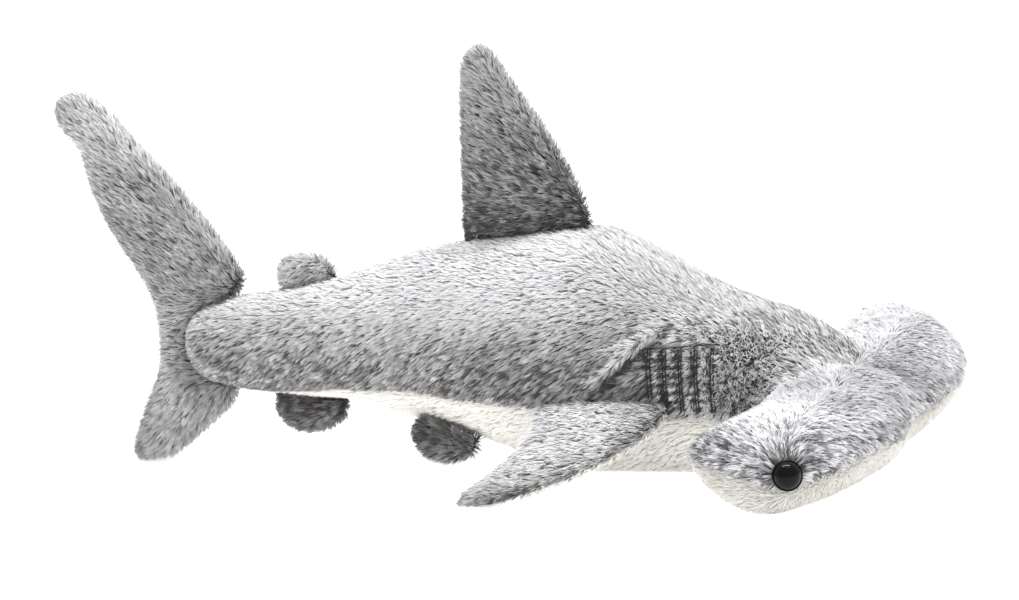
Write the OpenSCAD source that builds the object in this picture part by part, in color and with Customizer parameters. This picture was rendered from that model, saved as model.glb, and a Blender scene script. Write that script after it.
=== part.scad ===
// Hammerhead shark soft toy: panels of short-pile plush, sewn and filled with fibre.
// +X points to the head, +Y to the toy's left and +Z up. The origin is on the surface
// that the toy lies on, below the middle of its length.

/* [Fabric] */
// Thickness of the plush, backing and pressed pile together
wall = 1.6; // [1.2:0.1:1.8]
// Gap between a panel and the filling behind it
fill_gap = 0.45; // [0.4:0.05:0.6]
// Gap that a fin's root keeps from the body
root_gap = 0.9; // [0.6:0.1:1.2]

/* [Body] */
// Widest half width of the body, at the gills
body_half_width = 35; // [31:1:37]
// Roundness of the body's sections, 2 for an ellipse
body_squareness = 2.2; // [2:0.1:2.5]

/* [Head] */
// Width of the hammer over both lobes
head_width = 164; // [150:2:176]
// Height of the hammer's lobes, 40 as drawn in the head's rows
head_height = 40; // [36:1:44]

/* [Eyes] */
// Radius of an eye's dome
eye_r = 4.5; // [4.4:0.1:5.6]
// Radius of the eye's post
post_r = 1.6; // [1.2:0.1:1.8]

/* [Fins] */
// Height of the dorsal fin over its root
dorsal_height = 63; // [50:1:70]
// Half thickness of the dorsal fin
dorsal_half = 7; // [5:0.5:7.5]
// Half thickness of the tail fin
tail_half = 7.5; // [6:0.5:8]
// Span of a pectoral fin from root to tip
pectoral_span = 53; // [48:1:58]
// Angle that a pectoral fin droops below the level
pectoral_droop = 23; // [20:1:27]
// Angle that a pelvic fin droops below the level
pelvic_droop = 48; // [40:1:55]

/* [Gill stitching] */
// Number of stitch lines on each side
gill_lines = 5; // [3:1:5]
// Distance between two stitch lines
gill_pitch = 4.9; // [4.5:0.1:5.4]
// Radius of the stitching thread
thread_r = 0.45; // [0.35:0.05:0.6]

/* [Hidden] */

GREY = [0.66, 0.67, 0.70];
CREAM = [0.93, 0.91, 0.86];
BLACK = [0.05, 0.05, 0.06];
FIBRE = [0.97, 0.97, 0.95];
THREAD = [0.25, 0.26, 0.28];

SEAM_SLIT = 0.15;   // half the slit between two panels, in degrees round the body
MIRROR_Y = [1, -1, 1];

// ---- smooth curves through a few rows of numbers

function curve(a, b, c, d, t) =
  0.5 * (2 * b + (c - a) * t + (2 * a - 5 * b + 4 * c - d) * t * t + (3 * b - a - 3 * c + d) * t * t * t);

// The row at place u, from 0 at the first row to 1 at the last
function row_at(rows, u) =
  let(last = len(rows) - 1, k = min(floor(u * last), last - 1), t = u * last - k)
  curve(rows[max(k - 1, 0)], rows[k], rows[k + 1], rows[min(k + 2, last)], t);

// Steps from 0 to 1 that crowd together at both ends
function eased(n) = [for (i = [0:n]) (1 - cos(180 * i / n)) / 2];

function unit(v) = v / norm(v);

// ---- faces of a grid of points with its rows one after another

// Two opposite corners are cut across the other way, so that no triangle has all its
// points on the border: there it would lie flat on its twin from the other side.
function grid_faces(rows, cols, first, flip) =
  [for (i = [0:rows - 2], j = [0:cols - 2])
    let(a = first + i * cols + j, b = a + 1, c = a + cols, d = c + 1,
      corner = (i == 0 && j == 0) || (i == rows - 2 && j == cols - 2),
      pair = corner ? [[a, b, d], [a, d, c]] : [[a, b, c], [b, d, c]])
    each flip ? [for (f = pair) [f[0], f[2], f[1]]] : pair];

// The grid's border, once round, as point numbers
function border(rows, cols) = concat(
  [for (j = [0:cols - 2]) j],
  [for (i = [0:rows - 2]) i * cols + cols - 1],
  [for (j = [cols - 1:-1:1]) (rows - 1) * cols + j],
  [for (i = [rows - 1:-1:1]) i * cols]);

// A solid between two grids of the same size, closed round their borders
module shell(outer, inner, flip) {
  rows = len(outer);
  cols = len(outer[0]);
  count = rows * cols;
  rim = border(rows, cols);
  n = len(rim);
  side = [for (k = [0:n - 1])
    let(a = rim[k], b = rim[(k + 1) % n])
    each flip ? [[a, b, a + count], [b, b + count, a + count]] : [[a, a + count, b], [b, a + count, b + count]]];
  polyhedron(
    points = concat([for (r = outer) each r], [for (r = inner) each r]),
    faces = concat(grid_faces(rows, cols, 0, flip), grid_faces(rows, cols, count, !flip), side),
    convexity = 6);
}

// ---- body: sections from the tail end to the neck

TAIL_PIVOT = [-101, 0, 44];
TAIL_DOME = 14.5;   // length of the body's round tail end

// x, bottom, top, half width over the widest, half angle of the belly panel
BODY_ROWS = [
  [-101, 29, 58.5, 0.44, 8],
  [-89, 26.5, 61.5, 0.50, 14],
  [-72, 24.5, 63.2, 0.555, 26],
  [-52, 23.5, 67.2, 0.64, 42],
  [-28, 18.5, 74.5, 0.78, 56],
  [-12, 14.5, 77.5, 0.87, 62],
  [6, 8.5, 79.6, 0.94, 67],
  [22, 3.5, 81, 0.98, 71],
  [38, -1.6, 82.4, 1, 73],
  [50, -1.6, 81.8, 1, 74],
  [62, -1.6, 76.5, 0.975, 75.5],
  [76, -1.4, 68, 0.92, 77],
  [88, -1, 60.6, 0.85, 79],
  [98, 0.8, 51.7, 0.78, 82],
  [102, 1.6, 47, 0.755, 83.5],
  [106, 2.6, 38.2, 0.72, 85]];

BODY_STEPS = 20;
DOME_STEPS = 4;
DOME_END = 5;       // angle short of the dome's pole where the panels gather

function dome_row(a) = let(r = cos(a), first = BODY_ROWS[0]) [
  TAIL_PIVOT[0] - TAIL_DOME * sin(a),
  TAIL_PIVOT[2] - (TAIL_PIVOT[2] - first[1]) * r,
  TAIL_PIVOT[2] + (first[2] - TAIL_PIVOT[2]) * r,
  first[3] * r,
  first[4]];

SECTIONS = concat(
  [for (i = [0:DOME_STEPS - 1]) dome_row((90 - DOME_END) * (1 - i / DOME_STEPS))],
  [for (i = [0:BODY_STEPS]) row_at(BODY_ROWS, i / BODY_STEPS)]);

function rounded(v) = sign(v) * pow(abs(v), 2 / body_squareness);

// The x of the head's rear face at a side and height, root_gap short of it
function head_face(y, z) =
  let(r = [for (c = [1:6]) lookup(abs(y), [for (h = HEAD_HALF) [h[0] * head_width / 164, h[c]]])],
    seam = (r[2] + r[3]) / 2,
    share = z > r[2] ? (z - root_gap - r[2]) / (r[4] * head_height / 40 - seam)
      : (r[2] - z - root_gap) / (seam - r[5]),
    t = (1 - sqrt(max(0, 1 - pow(min(1, max(0, share)), 1 / PLUMPNESS)))) / 2)
  r[0] + (r[1] - r[0]) * t - root_gap;

// How far the neck reaches forward of a section to fold down on the head
NECK_START = 80;    // where the panels start to reach forward
NECK_END = BODY_ROWS[len(BODY_ROWS) - 1][0];
NECK_TIP = 7;       // how far the neck's top runs on over the head
function neck_reach(x, a, y, z) = x <= NECK_START ? 0 :
  pow((x - NECK_START) / (NECK_END - NECK_START), 2)
  * (head_face(y, z) + NECK_TIP * pow(max(0, cos(a)), 10) - NECK_END);

// A point of the body, at angle a from the top towards +Y, pressed flat where it lies
function body_point(s, a, inset) =
  let(middle = (s[1] + s[2]) / 2,
    half = max(0.5, (s[2] - s[1]) / 2 - inset),
    wide = max(0.4, s[3] * body_half_width - inset),
    pole = s[0] < TAIL_PIVOT[0] ? inset * (TAIL_PIVOT[0] - s[0]) / TAIL_DOME : 0,
    y = wide * rounded(sin(a)),
    z = max(inset, middle + half * rounded(cos(a))))
  [s[0] + pole + neck_reach(s[0], a, y, z), y, z];

module body_panel(from, to, steps) {
  function grid(inset) = [for (s = SECTIONS)
    let(a0 = from(s) + SEAM_SLIT, a1 = to(s) - SEAM_SLIT)
    [for (j = [0:steps]) body_point(s, a0 + (a1 - a0) * j / steps, inset)]];
  shell(grid(0), grid(wall), false);
}

module back_left() {
  color(GREY) body_panel(function(s) 0, function(s) 180 - s[4], 8);
}

module back_right() {
  color(GREY) body_panel(function(s) 180 + s[4], function(s) 360, 8);
}

module belly() {
  color(CREAM) body_panel(function(s) 180 - s[4], function(s) 180 + s[4], 10);
}

// A closed solid through rings of points, each ring once round
module lofted(rings) {
  n = len(rings[0]);
  m = len(rings);
  polyhedron(
    points = [for (r = rings) each r],
    faces = concat(
      [[for (j = [n - 1:-1:0]) j]],
      [for (i = [0:m - 2], j = [0:n - 1])
        let(k = (j + 1) % n)
        each [[i * n + j, i * n + k, (i + 1) * n + j], [i * n + k, (i + 1) * n + k, (i + 1) * n + j]]],
      [[for (j = [0:n - 1]) (m - 1) * n + j]]),
    convexity = 6);
}

// The filling's front is dished to the head's rear face, in rings that shrink to its middle
DISH = [0.85, 0.65, 0.45, 0.25];
DISH_HEIGHT = 18;

function dished(p, share) =
  let(y = p[1] * share, z = DISH_HEIGHT + (p[2] - DISH_HEIGHT) * share)
  [min(p[0], head_face(y, z)), y, z];

module body_filling() {
  ring = 30;
  inset = wall + fill_gap;
  front = [for (j = [0:ring - 1]) body_point(SECTIONS[len(SECTIONS) - 1], 360 * j / ring, inset)];
  middle = head_face(0, DISH_HEIGHT) - 0.3;
  color(FIBRE) lofted(concat(
    [for (s = SECTIONS) [for (j = [0:ring - 1])
      let(p = body_point(s, 360 * j / ring, inset))
      s[0] < TAIL_PIVOT[0] ? [s[0] + wall, p[1], p[2]] : p]],
    [for (share = DISH) [for (p = front) dished(p, share)]],
    [[for (p = front) [middle, p[1] * 0.1, DISH_HEIGHT + (p[2] - DISH_HEIGHT) * 0.1]]]));
}

// ---- pillows: two panels that meet in a seam all round
// A row is [rear point, front point, half thickness up, half thickness down]; rows run
// from one end to the other, and the panels close on each other over the end lengths.

PLUMPNESS = 0.55;   // 0.5 for a round edge, 1 for a sharp one

function row_inset(r, inset) =
  let(d = unit(r[1] - r[0]))
  [r[0] + d * inset, r[1] - d * inset, max(0.4, r[2] - inset), max(0.4, r[3] - inset)];

function middle_of(r) = (r[0] + r[1]) / 2;

function length_of(rows) =
  len(rows) < 2 ? 0 : [for (i = [1:len(rows) - 1]) norm(middle_of(rows[i]) - middle_of(rows[i - 1]))]
  * [for (i = [1:len(rows) - 1]) 1];

// How full the pillow is at distance d from an end that closes over length e
function fullness(d, e) = d >= e ? 1 : sqrt(max(0, 1 - pow(1 - d / e, 2)));

// A grid of one side of a pillow; side is +1 for up and -1 for down, up is its direction
function pillow_side(rows, ends, up, side, inset, steps, cols) =
  let(total = length_of(rows))
  [for (u = eased(steps))
    let(v = inset / total + u * (1 - 2 * inset / total),
      raw = row_at(rows, v),
      r = row_inset(raw, inset),
      full = fullness(u * (total - 2 * inset), max(1, ends[0] - inset))
        * fullness((1 - u) * (total - 2 * inset), max(1, ends[1] - inset)),
      high = (side > 0 ? r[2] : r[3]) * full)
    [for (t = eased(cols))
      r[0] + (r[1] - r[0]) * t + up * side * high * pow(max(0, 1 - pow(2 * t - 1, 2)), PLUMPNESS)]];

// True where a grid's own faces would show their backs on this side
function turned(rows, up, side) =
  let(mid = rows[floor(len(rows) / 2)], span = middle_of(rows[len(rows) - 1]) - middle_of(rows[0]))
  side * (up * cross(mid[1] - mid[0], span)) > 0;

module pillow_panel(rows, ends, up, side, steps, cols) {
  shell(pillow_side(rows, ends, up, side, 0, steps, cols),
    pillow_side(rows, ends, up, side, wall, steps, cols), turned(rows, up, side));
}

module pillow_filling(rows, ends, up, steps, cols) {
  inset = wall + fill_gap;
  top = pillow_side(rows, ends, up, 1, inset, steps, cols);
  under = pillow_side(rows, ends, up, -1, inset, steps, cols);
  count = (steps + 1) * (cols + 1);
  flip = turned(rows, up, 1);
  // the two sides share the points of their border
  on_rim = function(k) k % (cols + 1) == 0 || k % (cols + 1) == cols || k <= cols || k >= count - cols - 1;
  renumber = function(f) [for (k = f) on_rim(k - count) ? k - count : k];
  polyhedron(
    points = concat([for (r = top) each r], [for (r = under) each r]),
    faces = concat(grid_faces(steps + 1, cols + 1, 0, flip),
      [for (f = grid_faces(steps + 1, cols + 1, count, !flip)) renumber(f)]),
    convexity = 6);
}

// ---- head: one wide pillow of two lobes, from the right end to the left one

// y, rear x, front x, rear seam z, front seam z, top, bottom
HEAD_HALF = [
  [0, 109, 153.5, 18, 16.5, 35.5, 2.2],
  [14, 108, 157, 18, 16.5, 36.3, 1.6],
  [28, 106.5, 159.2, 18, 18, 37.6, 1.2],
  [42, 105, 158.4, 18.5, 18.5, 38.4, 1.4],
  [55, 103.5, 155, 19.5, 17.5, 38.5, 2],
  [67, 103, 150, 21.5, 16.5, 37.5, 3],
  [76, 104, 143.5, 23, 14.5, 33.6, 4],
  [82, 108, 136.5, 23, 13, 30.2, 5.5]];
HEAD_ENDS = [13, 13];
HEAD_STEPS = 22;
HEAD_COLS = 9;

function head_row(r, side) =
  let(y = side * r[0] * head_width / 164, top = r[5] * head_height / 40, seam = (r[3] + r[4]) / 2)
  [[r[1], y, r[3]], [r[2], y, r[4]], top - seam, seam - r[6]];

HEAD_ROWS = concat(
  [for (i = [len(HEAD_HALF) - 1:-1:1]) head_row(HEAD_HALF[i], -1)],
  [for (r = HEAD_HALF) head_row(r, 1)]);

UP = [0, 0, 1];

// ---- eyes: a dome with a thin rim on a post, held by a washer inside

EYE_ALONG = 0.964;    // place along the head, 1 at the left end
EYE_ACROSS = 0.965;   // place from the rear edge to the front edge
EYE_TILT = [0.5, 0.83, 0.2];
EYE_RIM = 0.35;
POST_LENGTH = 9;
WASHER_R = 3.9;
WASHER_T = 1.2;

function head_top_at(u, t) =
  let(total = length_of(HEAD_ROWS), r = row_at(HEAD_ROWS, u),
    full = fullness(u * total, HEAD_ENDS[0]) * fullness((1 - u) * total, HEAD_ENDS[1]))
  r[0] + (r[1] - r[0]) * t + UP * r[2] * full * pow(1 - pow(2 * t - 1, 2), PLUMPNESS);

EYE_SEAT = head_top_at(EYE_ALONG, EYE_ACROSS);

// Puts its children at the left eye, their Z pointing out of the head
module at_eye() {
  n = unit(EYE_TILT);
  translate(EYE_SEAT + n * 0.25)
    rotate([0, acos(n[2]), atan2(n[1], n[0])])
    children();
}

module eye() {
  color(BLACK) at_eye() rotate_extrude($fn = 48) union() {
    square([eye_r + EYE_RIM, 0.7]);
    intersection() {
      translate([0, 0.7 - eye_r * 0.25]) circle(eye_r, $fn = 96);
      translate([0, 0.7]) square([eye_r, eye_r]);
    }
    translate([0, -POST_LENGTH]) square([post_r, POST_LENGTH + 0.2]);
  }
}

module eye_washer() {
  color(FIBRE) at_eye() translate([0, 0, -wall - 2.6]) difference() {
    cylinder(r = WASHER_R, h = WASHER_T, $fn = 48);
    translate([0, 0, -1]) cylinder(r = post_r + 0.05, h = WASHER_T + 2, $fn = 48);
  }
}

module eye_hole(r) {
  for (m = [[1, 1, 1], MIRROR_Y]) scale(m) at_eye()
    translate([0, 0, -POST_LENGTH - 1]) cylinder(r = r, h = POST_LENGTH + 4, $fn = 48);
}

module eye_left() {
  eye();
}

module eye_right() {
  mirror([0, 1, 0]) eye();
}

module eye_washer_left() {
  eye_washer();
}

module eye_washer_right() {
  mirror([0, 1, 0]) eye_washer();
}

module head_top() {
  color(GREY) difference() {
    pillow_panel(HEAD_ROWS, HEAD_ENDS, UP, 1, HEAD_STEPS, HEAD_COLS);
    eye_hole(post_r + 0.15);
  }
}

module head_underside() {
  color(CREAM) pillow_panel(HEAD_ROWS, HEAD_ENDS, UP, -1, HEAD_STEPS, HEAD_COLS);
}

module head_filling() {
  color(FIBRE) difference() {
    pillow_filling(HEAD_ROWS, HEAD_ENDS, UP, HEAD_STEPS, HEAD_COLS);
    eye_hole(WASHER_R + 0.2);
  }
}

// ---- gill stitching: lines of thread down the side of the body

GILL_FIRST = 75.5;      // x of the rearmost line
GILL_TOP = 46;
GILL_BOTTOM = [30, 25];   // z of the lower ends of the rearmost and foremost lines
THREAD_SIDES = 6;
THREAD_RINGS = 6;

function section_at(x) = [x, for (c = [1:4]) lookup(x, [for (s = SECTIONS) [s[0], s[c]]])];

function angle_at(s, z) =
  let(v = (z - (s[1] + s[2]) / 2) / ((s[2] - s[1]) / 2))
  acos(sign(v) * pow(abs(v), body_squareness / 2));

// The section whose panel, with the neck's reach, passes x at a height
function section_through(x, a) =
  let(reach = function(s) body_point(s, a, 0)[0] - s[0],
    first = section_at(x - reach(section_at(x))))
  section_at(x - reach(first));

module gill_line(k) {
  x = GILL_FIRST + k * gill_pitch;
  s = section_at(x);
  low = GILL_BOTTOM[0] + (GILL_BOTTOM[1] - GILL_BOTTOM[0]) * k / max(1, gill_lines - 1);
  top_a = angle_at(s, GILL_TOP);
  low_a = angle_at(s, low);
  lofted([for (i = [0:THREAD_RINGS])
    let(a = top_a + (low_a - top_a) * i / THREAD_RINGS,
      here = section_through(x, a),
      p = body_point(here, a, -thread_r - 0.3),
      q = body_point(here, a + 1, -thread_r - 0.3),
      d = unit(q - p),
      out = unit(cross(d, [1, 0, 0])))
    [for (j = [0:THREAD_SIDES - 1]) let(b = 360 * j / THREAD_SIDES)
      p + thread_r * (out * cos(b) + cross(d, out) * sin(b))]]);
}

module gill_stitches_left() {
  color(THREAD) for (k = [0:gill_lines - 1]) gill_line(k);
}

module gill_stitches_right() {
  mirror([0, 1, 0]) gill_stitches_left();
}

// ---- fins on the middle plane: rows of rear x, rear z, front x, front z, share of the half thickness

SIDE = [0, 1, 0];

function fin_rows(table, half) =
  [for (r = table) [[r[0], 0, r[1]], [r[2], 0, r[3]], half * r[4], half * r[4]]];

// The dorsal fin's root follows the back, root_gap above it
DORSAL_ROOT = [[-2, 79.4], [47, 82.9]];
DORSAL = [
  [0, 0, 0, 0, 1],
  [0.4, 0.18, -4.5, 0.19, 1],
  [1.2, 0.38, -10.5, 0.38, 0.97],
  [2.3, 0.58, -17.5, 0.57, 0.92],
  [3.6, 0.79, -25.5, 0.75, 0.82],
  [5.4, 0.93, -31, 0.885, 0.7],
  [9, 1, -36, 0.985, 0.5]];
DORSAL_TABLE = [for (r = DORSAL) [
  DORSAL_ROOT[0][0] + r[0], DORSAL_ROOT[0][1] + root_gap + r[1] * dorsal_height,
  DORSAL_ROOT[1][0] + r[2], DORSAL_ROOT[1][1] + root_gap + r[3] * dorsal_height, r[4]]];
DORSAL_ROWS = fin_rows(DORSAL_TABLE, dorsal_half);
DORSAL_ENDS = [dorsal_half, dorsal_half * 0.8];

REAR_DORSAL_HALF = 4.5;
REAR_DORSAL_ROWS = fin_rows([
  [-76.5, 62.9 + root_gap, -54, 66.9 + root_gap, 1],
  [-77.5, 68, -54, 70.3, 1],
  [-76, 72.2, -56.5, 73, 0.9],
  [-72, 74.8, -61, 74.8, 0.75]], REAR_DORSAL_HALF);
REAR_DORSAL_ENDS = [REAR_DORSAL_HALF, 3.5];

ANAL_HALF = 4.5;
ANAL_ROWS = fin_rows([
  [-83, 25 - root_gap, -52.5, 23.3 - root_gap, 1],
  [-83.8, 19.4, -53.5, 18, 1],
  [-80.5, 14.4, -58.5, 13.8, 0.9],
  [-75, 11.4, -65, 11.2, 0.75]], ANAL_HALF);
ANAL_ENDS = [ANAL_HALF, 3.5];

// The tail fin runs from its upper tip, round the body's end, to its lower tip
TAIL_ROWS = fin_rows([
  [-161, 130.5, -151.5, 136.3, 0.6],
  [-160, 122.5, -140, 129, 0.75],
  [-152, 114, -128.5, 115.5, 0.88],
  [-151, 103.5, -115.5, 102, 0.96],
  [-146, 89, -102.5, 86, 1],
  [-138, 75, -93.5, 73, 1],
  [-131.5, 64.5, -90.5, 64.4, 1],
  [-128.5, 57.5, -104, 59.9, 1],
  [-127, 51, -115.2, 52.2, 0.9],
  [-126.8, 44.5, -117.2, 44, 0.85],
  [-128, 38, -115.4, 36.2, 0.9],
  [-130.5, 31.5, -104, 28.1, 1],
  [-135.5, 24.5, -96, 25.4, 1],
  [-141, 13.5, -112.5, 12.9, 0.92],
  [-144.5, 4.9, -126, 3.5, 0.75],
  [-143, 1.8, -136.5, 0.9, 0.6]], tail_half);
TAIL_ENDS = [6, 5];

module fin_panel(rows, ends, side, steps, cols) {
  color(GREY) pillow_panel(rows, ends, SIDE, side, steps, cols);
}

module fin_filling(rows, ends, steps, cols) {
  color(FIBRE) pillow_filling(rows, ends, SIDE, steps, cols);
}

module dorsal_left() {
  fin_panel(DORSAL_ROWS, DORSAL_ENDS, 1, 10, 8);
}

module dorsal_right() {
  fin_panel(DORSAL_ROWS, DORSAL_ENDS, -1, 10, 8);
}

module dorsal_filling() {
  fin_filling(DORSAL_ROWS, DORSAL_ENDS, 10, 8);
}

module rear_dorsal_left() {
  fin_panel(REAR_DORSAL_ROWS, REAR_DORSAL_ENDS, 1, 7, 7);
}

module rear_dorsal_right() {
  fin_panel(REAR_DORSAL_ROWS, REAR_DORSAL_ENDS, -1, 7, 7);
}

module rear_dorsal_filling() {
  fin_filling(REAR_DORSAL_ROWS, REAR_DORSAL_ENDS, 7, 7);
}

module anal_left() {
  fin_panel(ANAL_ROWS, ANAL_ENDS, 1, 7, 7);
}

module anal_right() {
  fin_panel(ANAL_ROWS, ANAL_ENDS, -1, 7, 7);
}

module anal_filling() {
  fin_filling(ANAL_ROWS, ANAL_ENDS, 7, 7);
}

module tail_left() {
  fin_panel(TAIL_ROWS, TAIL_ENDS, 1, 26, 7);
}

module tail_right() {
  fin_panel(TAIL_ROWS, TAIL_ENDS, -1, 26, 7);
}

module tail_filling() {
  fin_filling(TAIL_ROWS, TAIL_ENDS, 26, 7);
}

// ---- paired fins: rows of rear x, front x, share of the span, share of the half thickness

// The root line runs from its rear point to its front point, and the fin droops from it
function drooping(droop) = [0, cos(droop), -sin(droop)];

function root_at(root, x) = root[0] + (root[1] - root[0]) * (x - root[0][0]) / (root[1][0] - root[0][0]);

function paired_rows(table, root, droop, span, half_up, half_down) =
  [for (r = table) [
    root_at(root, r[0]) + drooping(droop) * r[2] * span,
    root_at(root, r[1]) + drooping(droop) * r[2] * span,
    half_up * r[3], half_down * r[3]]];

function above(droop) = [0, sin(droop), cos(droop)];

PECTORAL_UP = 4.2;      // half thickness over the seam
PECTORAL_DOWN = 5.8;    // and under it
PECTORAL_ROOT = [[33, 35.2, 28], [83, 33.6, 28]];
PECTORAL_ROWS = paired_rows([
  [33, 83, 0, 1],
  [36, 82.5, 0.17, 1],
  [36.3, 78.5, 0.36, 0.96],
  [34, 71, 0.55, 0.88],
  [29.5, 60.5, 0.74, 0.78],
  [25, 48, 0.9, 0.66],
  [27, 39, 1, 0.5]], PECTORAL_ROOT, pectoral_droop, pectoral_span, PECTORAL_UP, PECTORAL_DOWN);
PECTORAL_ENDS = [5, 4];

PELVIC_HALF = 4;
PELVIC_ROOT = [[-19, 19.6, 21.2], [8, 20.6, 12.9]];
PELVIC_SPAN = 13;
PELVIC_ROWS = paired_rows([
  [-18, 7, 0, 1],
  [-19, 7.5, 0.35, 1],
  [-17, 3.5, 0.7, 0.9],
  [-12, -4, 1, 0.75]], PELVIC_ROOT, pelvic_droop, PELVIC_SPAN, PELVIC_HALF, PELVIC_HALF);
PELVIC_ENDS = [PELVIC_HALF, 3];

module pectoral_panel(side) {
  color(side > 0 ? GREY : CREAM)
    pillow_panel(PECTORAL_ROWS, PECTORAL_ENDS, above(pectoral_droop), side, 10, 8);
}

module pectoral_filling() {
  color(FIBRE) pillow_filling(PECTORAL_ROWS, PECTORAL_ENDS, above(pectoral_droop), 10, 8);
}

module pelvic_panel(side) {
  color(side > 0 ? GREY : CREAM)
    pillow_panel(PELVIC_ROWS, PELVIC_ENDS, above(pelvic_droop), side, 7, 7);
}

module pelvic_filling() {
  color(FIBRE) pillow_filling(PELVIC_ROWS, PELVIC_ENDS, above(pelvic_droop), 7, 7);
}

module pectoral_top_left() {
  pectoral_panel(1);
}

module pectoral_under_left() {
  pectoral_panel(-1);
}

module pectoral_filling_left() {
  pectoral_filling();
}

module pectoral_top_right() {
  mirror([0, 1, 0]) pectoral_panel(1);
}

module pectoral_under_right() {
  mirror([0, 1, 0]) pectoral_panel(-1);
}

module pectoral_filling_right() {
  mirror([0, 1, 0]) pectoral_filling();
}

module pelvic_top_left() {
  pelvic_panel(1);
}

module pelvic_under_left() {
  pelvic_panel(-1);
}

module pelvic_filling_left() {
  pelvic_filling();
}

module pelvic_top_right() {
  mirror([0, 1, 0]) pelvic_panel(1);
}

module pelvic_under_right() {
  mirror([0, 1, 0]) pelvic_panel(-1);
}

module pelvic_filling_right() {
  mirror([0, 1, 0]) pelvic_filling();
}

back_left();
back_right();
belly();
body_filling();
head_top();
head_underside();
head_filling();
eye_left();
eye_right();
eye_washer_left();
eye_washer_right();
gill_stitches_left();
gill_stitches_right();
dorsal_left();
dorsal_right();
dorsal_filling();
rear_dorsal_left();
rear_dorsal_right();
rear_dorsal_filling();
anal_left();
anal_right();
anal_filling();
tail_left();
tail_right();
tail_filling();
pectoral_top_left();
pectoral_under_left();
pectoral_filling_left();
pectoral_top_right();
pectoral_under_right();
pectoral_filling_right();
pelvic_top_left();
pelvic_under_left();
pelvic_filling_left();
pelvic_top_right();
pelvic_under_right();
pelvic_filling_right();
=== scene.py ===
"""Plush hammerhead shark: stuffed skins from the CAD nodes, a short pile on them, eyes and gill stitching."""
import bpy
import math
import numpy as np
from mathutils import Matrix, Vector, noise
from mathutils.bvhtree import BVHTree
from mathutils.kdtree import KDTree


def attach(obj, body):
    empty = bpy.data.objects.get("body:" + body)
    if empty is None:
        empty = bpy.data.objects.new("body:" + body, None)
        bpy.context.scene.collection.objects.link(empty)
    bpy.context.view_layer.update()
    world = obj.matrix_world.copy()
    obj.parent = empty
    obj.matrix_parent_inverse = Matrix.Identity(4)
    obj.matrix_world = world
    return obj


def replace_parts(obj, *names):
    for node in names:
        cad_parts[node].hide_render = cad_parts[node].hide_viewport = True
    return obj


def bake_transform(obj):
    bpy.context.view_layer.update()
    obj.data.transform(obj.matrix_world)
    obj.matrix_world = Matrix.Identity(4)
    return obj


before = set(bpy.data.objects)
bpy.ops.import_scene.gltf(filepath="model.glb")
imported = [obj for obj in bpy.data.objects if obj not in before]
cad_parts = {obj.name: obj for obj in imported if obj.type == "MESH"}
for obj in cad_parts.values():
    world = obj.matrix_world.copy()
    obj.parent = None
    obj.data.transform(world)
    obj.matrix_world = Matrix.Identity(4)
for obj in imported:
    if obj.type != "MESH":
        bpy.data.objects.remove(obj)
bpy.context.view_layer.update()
MM = 0.001
scene = bpy.context.scene
rng = np.random.default_rng(11)

# depths below a skin's surface, which is the middle of its pile
BACKING_DEPTH = 1.5 * MM
FILLING_DEPTH = 2.4 * MM
FLOOR_CLEAR = 0.25 * MM    # the pile's lowest height


# ---- mesh helpers

def unit(v):
    return v / np.maximum(np.linalg.norm(v, axis=-1, keepdims=True), 1e-12)


def points(mesh):
    co = np.empty(len(mesh.vertices) * 3)
    mesh.vertices.foreach_get("co", co)
    return co.reshape(-1, 3)


def normals(mesh):
    n = np.empty(len(mesh.vertices) * 3)
    mesh.vertex_normals.foreach_get("vector", n)
    return n.reshape(-1, 3)


def edges_of(mesh):
    e = np.empty(len(mesh.edges) * 2, np.int64)
    mesh.edges.foreach_get("vertices", e)
    return e.reshape(-1, 2)


def triangles(mesh):
    mesh.calc_loop_triangles()
    t = np.empty(len(mesh.loop_triangles) * 3, np.int64)
    mesh.loop_triangles.foreach_get("vertices", t)
    return t.reshape(-1, 3)


def move_points(mesh, co):
    mesh.vertices.foreach_set("co", co.ravel())
    mesh.update()


def new_object(name, verts, faces):
    mesh = bpy.data.meshes.new(name)
    mesh.from_pydata([tuple(v) for v in verts], [], [list(map(int, f)) for f in faces])
    mesh.validate()
    obj = bpy.data.objects.new(name, mesh)
    scene.collection.objects.link(obj)
    return obj


def apply_modifiers(obj):
    bpy.context.view_layer.update()
    dg = bpy.context.evaluated_depsgraph_get()
    made = bpy.data.meshes.new_from_object(obj.evaluated_get(dg))
    obj.modifiers.clear()
    obj.data = made


def shade_smooth(mesh):
    mesh.polygons.foreach_set("use_smooth", np.ones(len(mesh.polygons), bool))


def relaxed(co, edges, share, times, fixed=None):
    """Points moved towards the middle of their neighbours, and back out so that the shape keeps its size."""
    count = np.bincount(edges.ravel(), minlength=len(co))[:, None]
    for turn in range(times * 2):
        total = np.zeros_like(co)
        np.add.at(total, edges[:, 0], co[edges[:, 1]])
        np.add.at(total, edges[:, 1], co[edges[:, 0]])
        step = (total / np.maximum(count, 1) - co) * (share if turn % 2 == 0 else -share * 1.04)
        if fixed is not None:
            step[fixed] = 0
        co = co + step
    return co


# ---- panels: how far points are from each CAD panel

trees = {}


def tree_from(mesh):
    corners = [v.co.copy() for v in mesh.vertices]
    return BVHTree.FromPolygons(corners, [list(p.vertices) for p in mesh.polygons])


def tree_of(node):
    if node not in trees:
        trees[node] = tree_from(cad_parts[node].data)
    return trees[node]


FAR = 60 * MM   # distances are measured up to here


def distance(tree, p):
    hit, _, _, d = tree.find_nearest(p, FAR)
    return FAR if hit is None or d == 0 else d


def distances(co, nodes):
    """How far each point is from each node, in columns."""
    return np.stack([[distance(tree_of(node), p) for p in co] for node in nodes], axis=1)


# ---- skins: the outside of a stuffed part, blown up between its seams

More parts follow.
